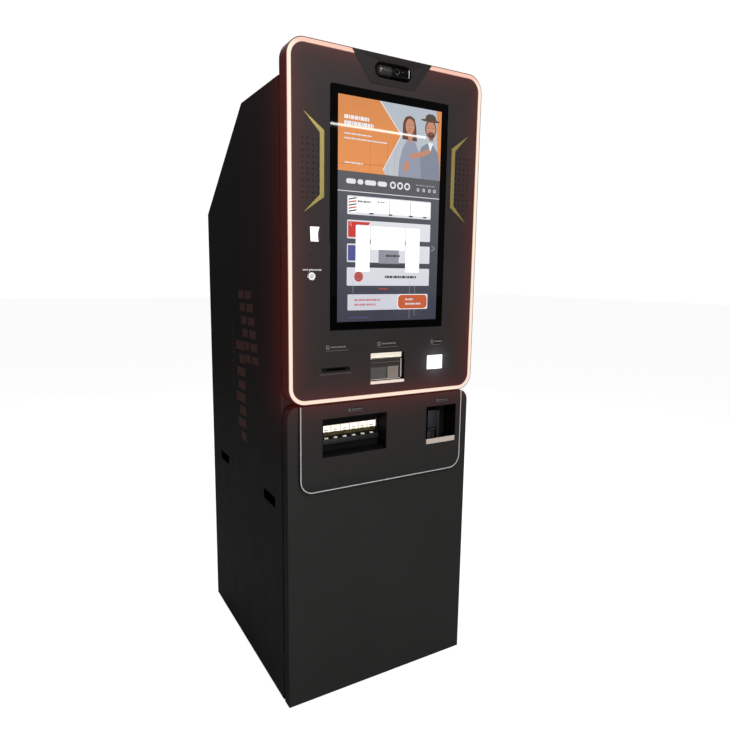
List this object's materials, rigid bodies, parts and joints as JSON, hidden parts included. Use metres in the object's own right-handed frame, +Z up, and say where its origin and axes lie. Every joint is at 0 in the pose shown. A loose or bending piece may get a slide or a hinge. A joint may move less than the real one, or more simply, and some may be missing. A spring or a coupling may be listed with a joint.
{
  "type": "atm machine",
  "caption": "Free-standing cash machine: sloped-back steel cabinet, tall upper door with lit edge and portrait touch screen, lower door with note and coin recesses.",
  "frame": {"origin": "middle of the footprint on the floor, under the levelling feet", "axes": "+Z up, the front with the screen faces -Y, +X to the right seen from the front"},
  "size_m": [0.628, 0.758, 1.866],
  "materials": {
    "cabinet_paint": "fine-textured satin charcoal powder coat",
    "frame_paint": "satin dark grey paint",
    "zinc_steel": "zinc-plated, satin",
    "stainless": "brushed along its length",
    "bright_metal": "polished",
    "gilt": "satin gilt",
    "rubber": "matt",
    "roller_rubber": "matt, pale",
    "diffuser": "frosted, lit from behind",
    "screen_glass": "black-bordered touch glass",
    "screen": "lit picture area in a black frame",
    "gloss_black": "polished",
    "camera_grey": "satin",
    "moulded_black": "finely textured moulding",
    "moulded_grey": "satin moulding",
    "module_case": "painted sheet case",
    "smoked_clear": "clear, slightly smoked",
    "paper": "thermal paper",
    "button_white": "gloss moulding"
  },
  "bodies": {
    "cabinet": {"base_plate": "frame_paint", "side_panel_left": "cabinet_paint", "side_panel_right": "cabinet_paint", "rear_panel": "cabinet_paint", "rear_slope_panel": "cabinet_paint", "roof_panel": "cabinet_paint", "front_frame": "frame_paint", "door_gaskets": "rubber", "frame_hinge_halves": "zinc_steel", "lock_barrels": "bright_metal", "equipment_shelves": "frame_paint", "computer": "module_case", "power_supply": "module_case", "power_inlet": "moulded_black", "fan_housing": "moulded_black", "note_mouth": "moulded_black", "note_mouth_lamp": "diffuser", "note_transport": "moulded_black", "note_unit_frame": "frame_paint", "note_cassettes": "moulded_grey", "coin_nose": "moulded_black", "coin_hoppers": "moulded_grey"},
    "upper_door": {"upper_door_rim": "cabinet_paint", "upper_door_face": "cabinet_paint", "upper_door_back": "cabinet_paint", "led_diffuser": "diffuser", "camera_plate": "gloss_black", "accent_trims": "gilt", "touch_glass": "screen_glass", "lcd_panel": "screen", "speakers": "moulded_black", "card_reader_mouth": "moulded_black", "card_reader": "moulded_black", "scanner_window": "diffuser", "scanner_module": "moulded_black", "finger_reader": "moulded_black", "call_button_ring": "bright_metal", "receipt_pocket": "moulded_black", "receipt_lamp": "diffuser", "receipt_lip": "stainless", "receipt_printer": "moulded_black"},
    "lower_door": {"lower_door_pan": "cabinet_paint", "lower_fascia": "cabinet_paint", "fascia_trim": "stainless", "note_sleeve": "cabinet_paint", "coin_tray": "cabinet_paint", "coin_lip": "stainless"},
    "upper_lock": {"upper_lock_cam": "zinc_steel"},
    "lower_lock": {"lower_lock_cam": "zinc_steel"},
    "call_button": {"call_button": "button_white"},
    "receipt_flap": {"receipt_flap": "smoked_clear"},
    "paper_roll": {"paper_roll": "paper"},
    "webcam": {"webcam": "camera_grey"},
    "note_shutter": {"note_shutter": "zinc_steel"},
    "note_rollers": {"note_feed_rollers": "roller_rubber"},
    "fan_rotor": {"fan_rotor": "moulded_black"},
    "foot_front_left": {"levelling_foot_front_left": "zinc_steel"},
    "foot_front_right": {"levelling_foot_front_right": "zinc_steel"},
    "foot_rear_left": {"levelling_foot_rear_left": "zinc_steel"},
    "foot_rear_right": {"levelling_foot_rear_right": "zinc_steel"}
  },
  "joints": [
    {"name": "upper_door_swing", "type": "hinge", "parent": "cabinet", "child": "upper_door", "pos_m": [-0.3105, -0.3215, 1.394], "axis": [0, 0, -1], "range_deg": [0, 100]},
    {"name": "lower_door_swing", "type": "hinge", "parent": "cabinet", "child": "lower_door", "pos_m": [-0.3105, -0.3215, 0.465], "axis": [0, 0, -1], "range_deg": [0, 100]},
    {"name": "upper_lock_turn", "type": "hinge", "parent": "cabinet", "child": "upper_lock", "pos_m": [0.264, -0.259, 1.4], "axis": [-1, 0, 0], "range_deg": [0, 90]},
    {"name": "lower_lock_turn", "type": "hinge", "parent": "cabinet", "child": "lower_lock", "pos_m": [0.264, -0.259, 0.48], "axis": [-1, 0, 0], "range_deg": [0, 90]},
    {"name": "call_button_press", "type": "slide", "parent": "upper_door", "child": "call_button", "axis": [0, 1, 0], "range_m": [0, 0.002], "stiffness_N_per_m": 300, "springref_m": -0.002},
    {"name": "receipt_flap_swing", "type": "hinge", "parent": "upper_door", "child": "receipt_flap", "pos_m": [0, -0.354, 1.035], "axis": [-1, 0, 0], "range_deg": [0, 75]},
    {"name": "paper_roll_turn", "type": "hinge", "parent": "upper_door", "child": "paper_roll", "pos_m": [0, -0.201, 1.012], "axis": [1, 0, 0], "continuous": true},
    {"name": "webcam_tilt", "type": "hinge", "parent": "upper_door", "child": "webcam", "pos_m": [0, -0.364, 1.8258], "axis": [1, 0, 0], "range_deg": [-12, 12]},
    {"name": "note_shutter_lift", "type": "slide", "parent": "cabinet", "child": "note_shutter", "axis": [0, 0, 1], "range_m": [0, 0.016]},
    {"name": "note_rollers_turn", "type": "hinge", "parent": "cabinet", "child": "note_rollers", "pos_m": [-0.101, -0.321, 0.801], "axis": [1, 0, 0], "continuous": true},
    {"name": "fan_turn", "type": "hinge", "parent": "cabinet", "child": "fan_rotor", "pos_m": [0, 0.362, 1.37], "axis": [0, 1, 0], "continuous": true},
    {"name": "foot_front_left_turn", "type": "hinge", "parent": "cabinet", "child": "foot_front_left", "pos_m": [-0.262, -0.263, 0.012], "axis": [0, 0, 1], "continuous": true},
    {"name": "foot_front_right_turn", "type": "hinge", "parent": "cabinet", "child": "foot_front_right", "pos_m": [0.262, -0.263, 0.012], "axis": [0, 0, 1], "continuous": true},
    {"name": "foot_rear_left_turn", "type": "hinge", "parent": "cabinet", "child": "foot_rear_left", "pos_m": [-0.262, 0.327, 0.012], "axis": [0, 0, 1], "continuous": true},
    {"name": "foot_rear_right_turn", "type": "hinge", "parent": "cabinet", "child": "foot_rear_right", "pos_m": [0.262, 0.327, 0.012], "axis": [0, 0, 1], "continuous": true}
  ]
}
